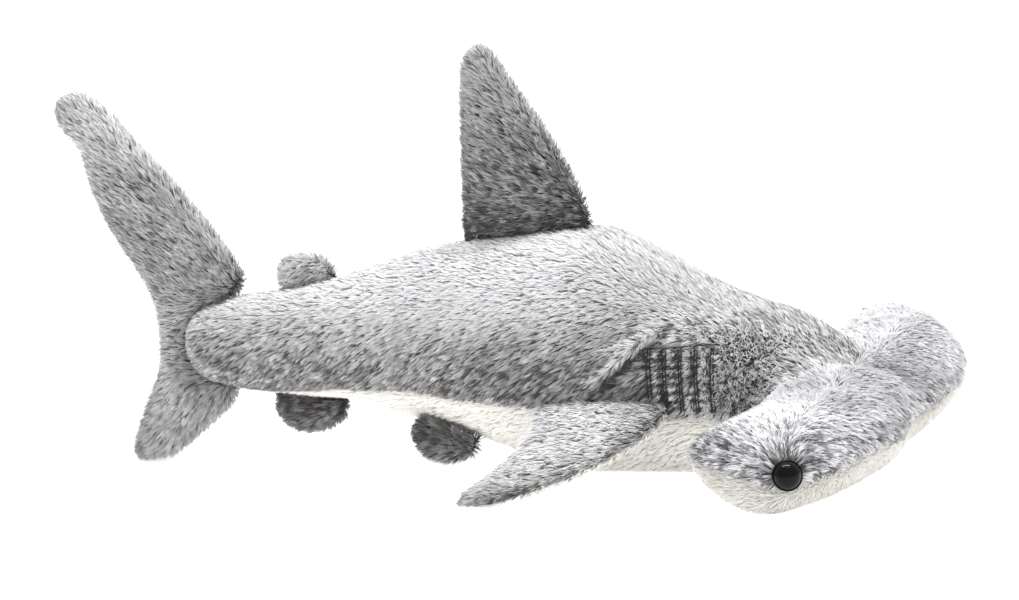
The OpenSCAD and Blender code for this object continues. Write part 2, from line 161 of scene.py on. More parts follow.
def outside_only(obj):
    """Keeps the largest connected shell of a mesh."""
    mesh = obj.data
    e = edges_of(mesh)
    label = np.arange(len(mesh.vertices))
    while True:
        low = np.minimum(label[e[:, 0]], label[e[:, 1]])
        new = label.copy()
        np.minimum.at(new, e[:, 0], low)
        np.minimum.at(new, e[:, 1], low)
        new = new[new]
        if (new == label).all():
            break
        label = new
    names, counts = np.unique(label, return_counts=True)
    keep = label == names[counts.argmax()]
    if keep.all():
        return
    remap = np.cumsum(keep) - 1
    verts = points(mesh)[keep]
    faces = [[remap[i] for i in p.vertices] for p in mesh.polygons if keep[p.vertices[0]]]
    made = bpy.data.meshes.new(mesh.name)
    made.from_pydata([tuple(v) for v in verts], [], faces)
    obj.data = made


CLOTH_FRAMES = 20


def blown_up(obj, pinned, limit):
    """A short cloth simulation with air pressure inside; the seams are pinned and the rest swells."""
    before = points(obj.data)
    group = obj.vertex_groups.new(name="seams")
    group.add([int(i) for i in np.flatnonzero(pinned)], 1.0, "REPLACE")
    cloth = obj.modifiers.new("cloth", "CLOTH")
    s = cloth.settings
    s.quality = 4
    s.mass = 0.2
    s.tension_stiffness = 12
    s.compression_stiffness = 12
    s.bending_stiffness = 0.6
    s.use_pressure = True
    s.uniform_pressure_force = 4
    s.vertex_group_mass = "seams"
    s.effector_weights.gravity = 0
    cloth.collision_settings.use_collision = False
    cloth.point_cache.frame_start = 1
    cloth.point_cache.frame_end = CLOTH_FRAMES
    for f in range(1, CLOTH_FRAMES + 1):
        scene.frame_set(f)
    apply_modifiers(obj)
    scene.frame_set(1)
    obj.vertex_groups.clear()
    move = points(obj.data) - before
    length = np.linalg.norm(move, axis=1, keepdims=True)
    move *= np.minimum(1, limit / np.maximum(length, 1e-9))
    move_points(obj.data, before + np.nan_to_num(move))


def sewn_to(co, tree, reach, near):
    """Points close to the torso drawn in to it, as a fin's root is drawn in by its seam."""
    out = co.copy()
    for k, p in enumerate(co):
        hit, _, _, d = tree.find_nearest(p, near)
        if hit is not None and d > 1e-6:
            share = 1 - (d / near) ** 2
            out[k] = p + (np.array(hit) - p) / d * min(d, reach) * share
    return out


SEAM_HALF = 1.3 * MM    # half width of the groove along a seam
ROOT_PULL = 3.2 * MM    # how far a fin's root is drawn in to the torso
ROOT_NEAR = 7 * MM      # and from how far away


def make_skin(name, panels, inner, voxel, swell, seam_depth, rounds, onto=None):
    """The outside of panels and their filling as one mesh, and the nearest panel of each of its points."""
    parts = [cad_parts[n].data for n in panels + inner]
    verts, faces = [], []
    for mesh in parts:
        base = len(verts)
        verts += [tuple(v.co) for v in mesh.vertices]
        faces += [[base + i for i in p.vertices] for p in mesh.polygons]
    obj = new_object(name, verts, faces)
    m = obj.modifiers.new("voxels", "REMESH")
    m.mode = "VOXEL"
    m.voxel_size = voxel
    apply_modifiers(obj)
    outside_only(obj)
    mesh = obj.data
    co = relaxed(points(mesh), edges_of(mesh), 0.5, rounds)
    move_points(mesh, co)
    second = np.sort(distances(co, panels), axis=1)[:, 1]
    blown_up(obj, second < voxel * 1.2, swell)
    m = obj.modifiers.new("finer", "SUBSURF")
    m.levels = 1
    m.subdivision_type = "CATMULL_CLARK"
    apply_modifiers(obj)
    mesh = obj.data
    co = points(mesh)
    apart = distances(co, panels)
    second = np.sort(apart, axis=1)[:, 1]
    co -= normals(mesh) * (seam_depth * np.exp(-(second / SEAM_HALF) ** 2))[:, None]
    if onto is not None:
        co = sewn_to(co, onto, ROOT_PULL, ROOT_NEAR)
    move_points(mesh, co)
    return obj, apart.argmin(axis=1)


# ---- shapes worked into the torso's skin

EYE_AXIS = (0.5, 0.83, 0.2)   # out of the head, for the left eye
EYE_RING = 0.35 * MM          # the rim's width round the dome
EYE_RIM_HIGH = 0.7 * MM
EYE_POST = 9 * MM             # length of the post behind the rim


def eye_frame(side, name):
    """The rim's middle, the axis and the rim's radius of an eye, from its CAD node."""
    axis = unit(np.array(EYE_AXIS) * (1, side, 1))
    co = points(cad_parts[name].data)
    along = co @ axis
    tip = co[along > along.max() - 1e-6].mean(axis=0)
    rel = co - tip
    rim = np.linalg.norm(rel - (rel @ axis)[:, None] * axis, axis=1).max()
    return tip - axis * (EYE_RIM_HIGH + (rim - EYE_RING) * 0.75), axis, rim


EYES = {}
for side, name in ((1, "eye_left"), (-1, "eye_right")):
    *EYES[name], EYE_RIM = eye_frame(side, name)
EYE_DOME = EYE_RIM - EYE_RING


def eye_distance(p):
    """Distance from the nearer eye's middle."""
    return np.min([np.linalg.norm(p - origin, axis=1) for origin, axis in EYES.values()], axis=0)


def ramped(x, low, high):
    """0 below low, 1 above high, and smooth between; low may be the larger."""
    t = np.clip((x - low) / (high - low), 0, 1)
    return t * t * (3 - 2 * t)


def bump(x, middle, width):
    return np.exp(-((x - middle) / width) ** 2)


GILL_X = np.array([74.8, 79.8, 84.8, 89.8, 94.9]) * MM
GILL_TOP = 46.3 * MM
GILL_LOW = np.array([30.5, 28.2, 25.9, 25.3, 24.8]) * MM
THREAD_APART = 0.62 * MM   # from the middle of a gill line to each of its threads


def gill_zone(p):
    """1 inside the stitched patch of a side, falling to 0 outside."""
    low = np.interp(p[:, 0], GILL_X, GILL_LOW)
    inside = np.minimum.reduce([p[:, 0] - GILL_X[0] + 1.5 * MM, GILL_X[-1] + 1.5 * MM - p[:, 0],
                                GILL_TOP + 1 * MM - p[:, 2], p[:, 2] - low + 1 * MM])
    return np.clip(inside / (1.5 * MM), 0, 1) * (np.abs(p[:, 1]) > 15 * MM)


def line_height(p, line, above, below, width):
    """Height of a soft fold beside a line: raised on its upper side and sunk on its lower one."""
    a, b = np.array(line) * MM
    d = b - a
    t = np.clip(((p - a) @ d) / (d @ d), -0.15, 1.15)
    rel = p - (a + t[:, None] * d)
    length = np.linalg.norm(d)
    across = rel[:, 2] * abs(d[0]) / length - rel[:, 0] * np.sign(d[0]) * abs(d[2]) / length
    near = np.exp(-(np.linalg.norm(rel, axis=1) / (3 * width)) ** 4)
    near *= np.clip(1 - np.abs(t - 0.5) * 1.3, 0, 1)
    return near * (above * np.exp(-((across - width * 0.7) / width) ** 2)
                   - below * np.exp(-((across + width * 0.6) / (width * 0.7)) ** 2))


FOLDS = [
    # ends in mm, raised, sunk, width
    ([(57, -34, 35), (77, -29, 50.5)], 2.4, 2.6, 2.2),
    ([(57, -34, 43.5), (74, -30, 48.5)], 1.0, 1.1, 1.7),
    ([(60, 34, 37), (76, 30, 50)], 1.0, 1.2, 2.1),
]


LOBE_TILT = 4.6 * MM   # how far the head's left lobe lies up and the right one down
LOBE_OUT = 55 * MM     # how far out the twist is whole
LOBE_SEAM = 18 * MM
LOBE_HIGH = 20 * MM    # from the seam to the head's top
EYE_STILL = 15 * MM    # round an eye, where nothing moves


def lobe_shift(p):
    """Upward move by the head's twist: the left lobe whole, the right one's top, the eyes not at all."""
    out = LOBE_TILT * np.sin(np.clip(p[:, 1] / LOBE_OUT, -1, 1) * math.pi / 2)
    out *= ramped(p[:, 0], 97 * MM, 113 * MM)
    out *= 1 - np.exp(-(eye_distance(p) / EYE_STILL) ** 4)
    return np.where(out < 0, out * np.clip((p[:, 2] - LOBE_SEAM) / LOBE_HIGH, 0, 1), out)


def twisted(p, way=1):
    return p + way * lobe_shift(p)[:, None] * np.array([0, 0, 1])


CREASE = ((104, -30), (154, 10))   # plan ends of the dip between the right lobe and the rest of the head


def crease_side(p):
    """Distance from the dip in plan, above 0 on the right lobe, and how much of it there is at a point."""
    a, b = (np.array(q) * MM for q in CREASE)
    d = (b - a) / np.linalg.norm(b - a)
    rel = p[:, :2] - a
    along = rel @ d / np.linalg.norm(b - a)
    much = ramped(along, 0, 0.25) * ramped(along, 1.1, 0.9) * ramped(p[:, 2], 22 * MM, 29 * MM)
    return rel @ np.array([d[1], -d[0]]), much


def smooth_patch(mesh, centre, size, times):
    """Evens out a mesh round a point, most at the point."""
    e = edges_of(mesh)
    co = points(mesh)
    rel = (co - np.array(centre) * MM) / (np.array(size) * MM)
    near = np.exp(-np.linalg.norm(rel, axis=1) ** 4)[:, None]
    count = np.bincount(e.ravel(), minlength=len(co))[:, None]
    for turn in range(times):
        total = np.zeros_like(co)
        np.add.at(total, e[:, 0], co[e[:, 1]])
        np.add.at(total, e[:, 1], co[e[:, 0]])
        co = co + (total / np.maximum(count, 1) - co) * near * 0.6
    move_points(mesh, co)


NECK_ON_HEAD = (128, 0, 40)   # mm, where the neck's end is evened out on the head
NECK_PATCH = (22, 30, 18)
UNEVEN = 0.7 * MM             # soft lumps of the filling


def shape_torso(obj):
    """The neck evened out on the head, the head's twist and dip, the gill lines, the folds and the lumps."""
    mesh = obj.data
    smooth_patch(mesh, NECK_ON_HEAD, NECK_PATCH, 110)
    move_points(mesh, twisted(points(mesh)))
    co, n = points(mesh), normals(mesh)
    zone = gill_zone(co)
    between = np.abs(co[:, 0:1] - GILL_X[None]).min(axis=1)
    lift = zone * (-1.3 * MM * np.exp(-(between / (0.9 * MM)) ** 2) + 0.35 * MM)
    for line, above, below, width in FOLDS:
        side = np.sign(line[0][1])
        lift += (np.sign(co[:, 1]) == side) * line_height(co, line, above * MM, below * MM, width * MM)
    off, much = crease_side(co)
    lift += much * MM * (2.4 * bump(off, 8 * MM, 8 * MM) - 1.3 * bump(off, -3 * MM, 5 * MM))
    lift += np.array([noise.noise(Vector(p) * 45) for p in co]) * UNEVEN * (co[:, 2] > 4 * MM)
    move_points(mesh, co + n * lift[:, None])


# ---- materials

def node_material(name):
    mat = bpy.data.materials.new(name)
    mat.use_nodes = True
    nodes, links = mat.node_tree.nodes, mat.node_tree.links
    nodes.clear()
    out = nodes.new("ShaderNodeOutputMaterial")
    shader = nodes.new("ShaderNodeBsdfPrincipled")
    links.new(shader.outputs[0], out.inputs[0])
    return mat, nodes, links, shader


def ramp(nodes, stops):
    r = nodes.new("ShaderNodeValToRGB")
    e = r.color_ramp.elements
    while len(e) < len(stops):
        e.new(0.5)
    for k, (at, color) in enumerate(stops):
        e[k].position = at
        e[k].color = (*color, 1)
    return r


def mix(nodes, links, factor, a, b):
    m = nodes.new("ShaderNodeMix")
    m.data_type = "RGBA"
    for socket, value in ((m.inputs[0], factor), (m.inputs[6], a), (m.inputs[7], b)):
        if isinstance(value, (int, float)):
            socket.default_value = value
        elif isinstance(value, tuple):
            socket.default_value = (*value, 1)
        else:
            links.new(value, socket)
    return m.outputs[2]


def pile_material(name, dark, light):
    """Strands: from root to tip along U of their palette, the darker root end partly painted shade deep in
    the pile, and from the dark to the light tone along V.
    """
    mat, nodes, links, shader = node_material(name)
    uv = nodes.new("ShaderNodeUVMap")
    uv.uv_map = "OFBake"
    split = nodes.new("ShaderNodeSeparateXYZ")
    links.new(uv.outputs[0], split.inputs[0])
    low, high = ramp(nodes, dark), ramp(nodes, light)
    links.new(split.outputs[0], low.inputs[0])
    links.new(split.outputs[0], high.inputs[0])
    tone = mix(nodes, links, split.outputs[1], low.outputs[0], high.outputs[0])
    links.new(tone, shader.inputs["Base Color"])
    shader.inputs["Roughness"].default_value = 0.75
    shader.inputs["Specular IOR Level"].default_value = 0.25
    shader.inputs["Sheen Weight"].default_value = 0.1
    shader.inputs["Sheen Roughness"].default_value = 0.5
    return mat


PALER_FROM, PALER_TO = 45 * MM, 74 * MM   # heights between which a backing turns paler, painted light from the overhead lamp


def cloth_material(name, dark, light, scale, relief, painted_top_light=None):
    """Knitted backing or loose fibre: fine crossed threads and soft patches, and paler high up if asked,
    which is painted light from above.
    """
    mat, nodes, links, shader = node_material(name)
    where = nodes.new("ShaderNodeTexCoord")
    fine = nodes.new("ShaderNodeTexNoise")
    fine.inputs["Scale"].default_value = scale
    fine.inputs["Detail"].default_value = 5
    wide = nodes.new("ShaderNodeTexNoise")
    wide.inputs["Scale"].default_value = scale / 12
    for t in (fine, wide):
        links.new(where.outputs["Object"], t.inputs["Vector"])
    tone = ramp(nodes, [(0.3, dark), (0.7, light)])
    blend = nodes.new("ShaderNodeMath")
    blend.operation = "MULTIPLY_ADD"
    blend.inputs[1].default_value = 0.5
    links.new(fine.outputs[0], blend.inputs[0])
    half = nodes.new("ShaderNodeMath")
    half.operation = "MULTIPLY"
    half.inputs[1].default_value = 0.5
    links.new(wide.outputs[0], half.inputs[0])
    links.new(half.outputs[0], blend.inputs[2])
    links.new(blend.outputs[0], tone.inputs[0])
    color = tone.outputs[0]
    if painted_top_light:
        split = nodes.new("ShaderNodeSeparateXYZ")
        links.new(where.outputs["Object"], split.inputs[0])
        high = nodes.new("ShaderNodeMapRange")
        high.inputs["From Min"].default_value = PALER_FROM
        high.inputs["From Max"].default_value = PALER_TO
        links.new(split.outputs[2], high.inputs["Value"])
        color = mix(nodes, links, high.outputs[0], color, painted_top_light)
    links.new(color, shader.inputs["Base Color"])
    b = nodes.new("ShaderNodeBump")
    b.inputs["Strength"].default_value = relief
    b.inputs["Distance"].default_value = 0.0006
    links.new(fine.outputs[0], b.inputs["Height"])
    links.new(b.outputs[0], shader.inputs["Normal"])
    shader.inputs["Roughness"].default_value = 0.9
    shader.inputs["Specular IOR Level"].default_value = 0.2
    return mat


# near-black root colour: painted shade deep in the pile
ROOT_SHADE = (0.028, 0.024, 0.024)


def grey_pile(name, dark, light):
    """A grey palette from three tones of its darkest strands over the dark root, which is painted shade, and
    four of its lightest.
    """
    low = [(0.0, ROOT_SHADE)] + list(zip((0.4, 0.8, 1.0), dark))
    return pile_material(name, low, list(zip((0.0, 0.3, 0.7, 1.0), light)))


def cream_pile(name, dark, light):
    return pile_material(name, list(zip((0.0, 0.5, 1.0), dark)), list(zip((0.0, 0.5, 1.0), light)))


PILES = {
    "back": grey_pile(
        "grey_pile_back",
        [(0.035, 0.030, 0.029), (0.07, 0.062, 0.059), (0.10, 0.090, 0.086)],
        [(0.36, 0.36, 0.365), (0.52, 0.52, 0.53), (0.67, 0.672, 0.68), (0.73, 0.733, 0.743)]),
    "head": grey_pile(
        "grey_pile_head",
        [(0.04, 0.036, 0.04), (0.08, 0.08, 0.09), (0.11, 0.11, 0.125)],
        [(0.46, 0.46, 0.47), (0.60, 0.60, 0.615), (0.75, 0.753, 0.77), (0.80, 0.803, 0.82)]),
    "fin": grey_pile(
        "grey_pile_fin",
        [(0.030, 0.026, 0.026), (0.05, 0.045, 0.044), (0.07, 0.063, 0.061)],
        [(0.18, 0.177, 0.177), (0.31, 0.307, 0.31), (0.47, 0.467, 0.47), (0.56, 0.557, 0.56)]),
    "cream": cream_pile(
        "cream_pile",
        [(0.36, 0.345, 0.31), (0.43, 0.415, 0.385), (0.50, 0.485, 0.455)],
        [(0.74, 0.72, 0.675), (0.82, 0.805, 0.765), (0.87, 0.86, 0.825)]),
}
GREY_CLOTH = cloth_material("grey_backing", (0.04, 0.037, 0.04), (0.09, 0.085, 0.09), 900, 0.4)
# painted light: the back's backing turns paler high up, where the overhead light falls
BACK_CLOTH = cloth_material("grey_backing_back", (0.05, 0.047, 0.05), (0.10, 0.095, 0.10), 900, 0.4,
                            painted_top_light=(0.30, 0.30, 0.305))
HEAD_CLOTH = cloth_material("grey_backing_head", (0.13, 0.127, 0.135), (0.22, 0.217, 0.225), 900, 0.4)
CREAM_CLOTH = cloth_material("cream_backing", (0.50, 0.46, 0.38), (0.64, 0.60, 0.52), 900, 0.4)
FIBRE = cloth_material("stuffing_fibre", (0.70, 0.70, 0.68), (0.90, 0.90, 0.88), 500, 0.8)
PLASTIC = cloth_material("white_plastic", (0.72, 0.72, 0.70), (0.82, 0.82, 0.80), 260, 0.05)
THREAD = cloth_material("dark_thread", (0.012, 0.010, 0.010), (0.06, 0.055, 0.055), 1800, 0.9)


def eye_material():
    mat, nodes, links, shader = node_material("black_gloss")
    where = nodes.new("ShaderNodeTexCoord")
    n = nodes.new("ShaderNodeTexNoise")
    n.inputs["Scale"].default_value = 180
    n.inputs["Detail"].default_value = 3
    links.new(where.outputs["Object"], n.inputs["Vector"])
    tone = ramp(nodes, [(0.35, (0.0016, 0.0015, 0.0016)), (0.7, (0.0035, 0.0032, 0.0032))])
    links.new(n.outputs[0], tone.inputs[0])
    links.new(tone.outputs[0], shader.inputs["Base Color"])
    shader.inputs["Roughness"].default_value = 0.04
    shader.inputs["Specular IOR Level"].default_value = 0.1
    return mat


BLACK_GLOSS = eye_material()

# ---- the parts: panels, filling, body, pile

def stubble(p, n):
    """1 on the sides of the neck, where the pile is short and stands up, and 0 on its top and its rim."""
    along = ramped(p[:, 0], 84 * MM, 97 * MM) * ramped(p[:, 0], 127 * MM, 113 * MM)
    return along * ramped(n[:, 2], 0.86, 0.55)


def flow_back(p, n):
    """Down the body and a little down its sides; the neck's pile lies every way."""
    side = np.clip(1 - n[:, 2], 0, 1)
    d = np.stack([-np.ones(len(p)), np.zeros(len(p)), -0.6 * side], 1)
    neck = stubble(p, n)[:, None]
    d = d * (1 - neck) + np.array([-0.35, 0, -0.6]) * neck
    return d + rng.normal(0, 1, d.shape) * (0.16 + 0.5 * neck)


def flow_head(p, n):
    """Across the hammer and rearward, turning down at the front seam, and away from the eyes."""
    d = np.tile([-0.75, 0.45, -0.15], (len(p), 1))
    front = ramped(p[:, 0], 130 * MM, 144 * MM)[:, None]
    d = d * (1 - front) + np.array([0.75, 0.35, -0.45]) * front
    for origin, axis in EYES.values():
        away = p - origin
        near = np.exp(-(np.linalg.norm(away, axis=1) / (11 * MM)) ** 2)[:, None]
        d = d * (1 - near) + unit(away) * near * 1.5
    return d + rng.normal(0, 0.2, d.shape)


def flow_chin(p, n):
    return np.array([-0.8, 0.5, 0.1]) + rng.normal(0, 0.13, p.shape)


def flow_rear(p, n):
    return np.array([-1.0, 0, -0.05]) + rng.normal(0, 0.25, p.shape)


def flow_dorsal(p, n):
    low = np.clip(1 - (p[:, 2] - 84 * MM) / (22 * MM), 0, 1)[:, None]
    d = np.array([-0.74, 0, 0.67]) * (1 - low) + np.array([-0.96, 0, 0.12]) * low
    return d + rng.normal(0, 0.2, p.shape)


def flow_tail(p, n):
    up = np.clip((p[:, 2] - 50 * MM) / (16 * MM), 0, 1)[:, None]
    down = np.clip((40 * MM - p[:, 2]) / (14 * MM), 0, 1)[:, None]
    d = up * np.array([-0.62, 0, 0.78]) + down * np.array([-0.7, 0, -0.71])
    d = d + (1 - up - down) * np.array([-1.0, 0, 0])
    return d + rng.normal(0, 0.2, p.shape)


def flow_small(p, n):
    return np.array([-0.85, 0, -0.2]) + 0.4 * n * np.array([0, 1, 1]) + rng.normal(0, 0.25, p.shape)


def flow_span(p, n):
    side = np.sign(p[:, 1])
    d = np.stack([np.full(len(p), -0.8), 0.45 * side, np.full(len(p), -0.25)], 1)
    return d + rng.normal(0, 0.2, p.shape)


def patches(p, size, seed):
    return np.array([noise.fractal(Vector(q) / size + Vector((seed, 0, 0)), 0.6, 2.1, 3) for q in p])


def fold_light_and_shade(p):
    """Painted light and shade of the folds: above 0 on a fold's ridge, a painted highlight, and below 0 in
    its crease, painted shade.
    """
    out = np.zeros(len(p))
    for line, above, below, width in FOLDS:
        near = np.sign(p[:, 1]) == np.sign(line[0][1])
        out[near] += line_height(p[near], line, above / 2, below / 2, width * MM)
    return out


def tone_back(p, n):
    """Pale on the back and dark low on the flanks, painted shade where the overhead light falls off; speckled
    at the neck, and laddered between the gill lines, with painted shade in their grooves.
    """
    zone = gill_zone(p)
    line = bump(np.abs(p[:, 0:1] - GILL_X).min(axis=1), THREAD_APART, 0.4 * MM)
    rung = np.cos(p[:, 2] / (2.8 * MM) * 2 * math.pi)
    neck = ramped(p[:, 0], 72 * MM, 92 * MM)
    # painted shade: darker low on the flanks, and on the neck where it faces sideways or down
    low = ramped(p[:, 2], 66 * MM, 34 * MM) * (1 - neck) + ramped(n[:, 2], 0.75, 0.1) * neck
    t = 0.95 - (0.60 - 0.30 * neck) * low - 0.1 * ramped(p[:, 0], 40 * MM, 66 * MM) * (1 - low)
    t = t + 0.18 * stubble(p, n)
    # painted shade in the gill grooves, plus the folds' painted highlight and shade
    return t + zone * (0.34 * rung - 0.6 * line + 0.12) + 0.9 * fold_light_and_shade(p)


def rough_back(p, n):
    neck = ramped(p[:, 0], 72 * MM, 90 * MM) * ramped(p[:, 0], 124 * MM, 108 * MM)
    neck *= ramped(p[:, 2], 62 * MM, 46 * MM)
    return 0.05 + 0.7 * ramped(p[:, 2], 64 * MM, 38 * MM) + 0.8 * neck


def tone_head(p, n):
    """Pale on top, most so on the right lobe, toned down where it faces straight up against the overhead
    light; painted shade over the front seam, round the eyes and in the dip.
    """
    front = ramped(p[:, 0], 128 * MM, 146 * MM)
    # toned down where it faces up, against the overhead light, and painted shade along the front seam
    t = 0.74 - 0.1 * ramped(n[:, 2], 0.5, 0.95) - 0.14 * front * bump(p[:, 2], 23 * MM, 9 * MM)
    # paler towards the lobes' ends, far more on the right lobe
    paler_end = np.where(p[:, 1] < 0, 0.2, 0.02)
    t = t + paler_end * bump(np.abs(p[:, 1]), 60 * MM, 15 * MM) * bump(p[:, 0], 130 * MM, 15 * MM)
    t = t - 0.14 * ramped(p[:, 0], 126 * MM, 112 * MM)
    # painted shade round the eyes
    t = t - 0.25 * np.exp(-(eye_distance(p) / (6.8 * MM)) ** 4)
    off, much = crease_side(p)
    t = t + 0.12 * ramped(p[:, 1], 10 * MM, 40 * MM)
    # painted shade in the dip beside the right lobe
    return t + 0.22 * patches(p, 24 * MM, 5) - 0.16 * much * bump(off, -3 * MM, 4 * MM)


def rough_head(p, n):
    seam = ramped(p[:, 0], 132 * MM, 142 * MM) * bump(p[:, 2], 20 * MM, 5.5 * MM)
    end = ramped(np.abs(p[:, 1]), 54 * MM, 70 * MM) * ramped(p[:, 2], 35 * MM, 27 * MM)
    return 0.08 + 0.9 * seam + 1.1 * end


def even(level):
    return lambda p, n: np.full(len(p), level)


def edge(n):
    """1 along a thin upright fin's edges and 0 on its sides."""
    return np.clip(1 - 1.15 * np.abs(n[:, 1]), 0, 1)


def tone_dorsal(p, n):
    """Darkest at the root, painted shade in the crease along the fin's base, with paler edges."""
    t = 0.50 + 0.42 * ramped(p[:, 2], 96 * MM, 134 * MM) - 0.25 * bump(p[:, 2], 83 * MM, 7 * MM)
    return t + 0.3 * edge(n)


def rough_dorsal(p, n):
    return 1.0 - 0.6 * ramped(p[:, 2], 100 * MM, 130 * MM)


def tone_under(p, n):
    """The small fins under the body are dark with paler edges and lower halves, the anal fin darkest: painted
    shade from the body over their upper parts, most on the anal fin.
    """
    # painted shade: darker towards each fin's top, where the body shades it
    anal, pelvic = ramped(p[:, 2], 21 * MM, 12 * MM), ramped(p[:, 2], 15 * MM, 6 * MM)
    foot = np.where(p[:, 0] < -40 * MM, anal, pelvic)
    return 0.16 + 0.28 * edge(n) + 0.28 * foot + 0.08 * ramped(p[:, 0], -40 * MM, -30 * MM)


def tone_pectoral(p, n):
    """Pale on top and darker along the leading edge."""
    lead = np.clip((n[:, 0] + 0.15 * np.abs(n[:, 1])) * 1.6, 0, 1)
    return 0.96 - 0.42 * lead - 0.34 * ramped(np.abs(p[:, 1]), 62 * MM, 84 * MM)


def rough_pectoral(p, n):
    return 0.15 + 0.85 * np.clip(n[:, 0] * 1.8, 0, 1)


def tone_tail(p, n):
    t = 0.53 + 0.24 * ramped(p[:, 2], 92 * MM, 122 * MM) + 0.2 * bump(p[:, 2], 46 * MM, 12 * MM)
    return t + 0.25 * edge(n) + 0.14 * patches(p, 20 * MM, 7)


# palette, flow, tone, dark gaps (painted shade between tufts), length mm, lean degrees, strands per mm2
KINDS = {
    "back": ("back", flow_back, tone_back, rough_back, 3.4, 64, 4.3),
    "head": ("head", flow_head, tone_head, rough_head, 3.4, 72, 4.4),
    "belly": ("cream", flow_rear, even(1), even(0), 2.6, 60, 3.4),
    "chin": ("cream", flow_chin, even(0.35), even(0), 2.4, 80, 3.8),
    "dorsal": ("fin", flow_dorsal, tone_dorsal, rough_dorsal, 3.7, 58, 4.6),
    "tail": ("back", flow_tail, tone_tail, even(0.35), 3.7, 58, 4.6),
    "rear_dorsal": ("back", flow_small, even(0.76), even(0.5), 3.6, 54, 4.8),
    "small": ("fin", flow_small, tone_under, even(0.8), 3.6, 54, 4.8),
    "pectoral": ("back", flow_span, tone_pectoral, rough_pectoral, 3.4, 70, 4.6),
    "under": ("cream", flow_span, even(1), even(0), 3.0, 54, 3.4),
}
GAPS = 0.28          # painted shade strokes, the dark gaps between tufts, per mm2 where the pile is roughest
GAP_HALF = 0.25 * MM
TUFT = 9             # strands in a tuft


def leaning(n, d, angle):
    """Directions that lean by an angle from n towards d."""
    return n * np.cos(angle)[:, None] + d * np.sin(angle)[:, None]


def nearest_of(p, chosen):
    """For each point, which of the chosen points is nearest."""
    kd = KDTree(len(chosen))
    for k, i in enumerate(chosen):
        kd.insert(p[i], k)
    kd.balance()
    return np.array([kd.find(q)[1] for q in p])


def strands(p, n, kind):
    """Root, middle and tip of each strand, its palette tone and its width direction."""
    _, flow, tone, rough, length, lean, density = KINDS[kind]
    count = len(p)
    d = flow(p, n)
    d = unit(d - n * (d * n).sum(axis=1, keepdims=True))
    v = tone(p, n)
    size = length * MM * rng.uniform(0.8, 1.15, count)
    bend = np.radians(lean) * rng.uniform(0.8, 1.08, count)
    if kind in ("dorsal", "tail", "small", "rear_dorsal"):
        bend *= 1 - 0.35 * edge(n)
        size *= 1 + 0.15 * edge(n)
    if kind == "back":
        zone = gill_zone(p)
        size *= 1 - 0.4 * zone
        neck = stubble(p, n)
        bend *= 1 - 0.4 * neck * (1 - zone)
        size *= 1 - 0.2 * neck
    uneven = rough(p, n)
    v = v + 0.10 * patches(p, 18 * MM, 3) + (0.05 + 0.08 * uneven) * patches(p, 6 * MM, 9)
    # tufts: strands lean to the middle strand of a small group
    chief = rng.choice(count, max(1, count // TUFT), replace=False)
    group = nearest_of(p, chief)
    chief_of = chief[group]
    v = v + rng.normal(0, 1, len(chief))[group] * (0.05 + 0.17 * uneven) + rng.normal(0, 0.04, count)
    # painted shade: short curved dark strokes where the shaded gaps between tufts show the dark roots, made
    # by darkening the strands there
    seeds = rng.choice(count, int(count * GAPS / density), replace=False)
    seeds = seeds[rng.uniform(0, 1, len(seeds)) < uneven[seeds]]
    if len(seeds) > 1:
        which = nearest_of(p, seeds)
        near = seeds[which]
        rel = p - p[near]
        along = (rel * d[near]).sum(axis=1)
        across = (rel * np.cross(n[near], d[near])).sum(axis=1)
        across -= rng.normal(0, 110, len(seeds))[which] * along ** 2
        reach = rng.uniform(0.7, 2.0, len(seeds))[which] * MM
        shaded_gap = (np.abs(along) < reach) & (np.abs(across) < GAP_HALF)
        v = np.where(shaded_gap, v * 0.45 - 0.22, v)
    root = p - n * BACKING_DEPTH
    pull = p[chief_of] - p
    pull -= n * (pull * n).sum(axis=1, keepdims=True)
    middle = root + leaning(n, d, 0.6 * bend) * (size * 0.45)[:, None] + pull * 0.2
    tip = middle + leaning(n, d, 1.2 * bend) * (size * 0.55)[:, None] + pull * 0.42
    wide = unit(np.cross(d, n) + n * rng.normal(0, 0.35, count)[:, None])
    for q in (root, middle, tip):
        q[:, 2] = np.maximum(q[:, 2], FLOOR_CLEAR + rng.uniform(0, 0.3, count) * MM)
    return root, middle, tip, np.clip(v, 0.02, 0.98), wide


BACKINGS = {"back": BACK_CLOTH, "head": HEAD_CLOTH}
STRAND_WIDTH = 0.36 * MM
MOST_STRANDS = 65000   # in one piece


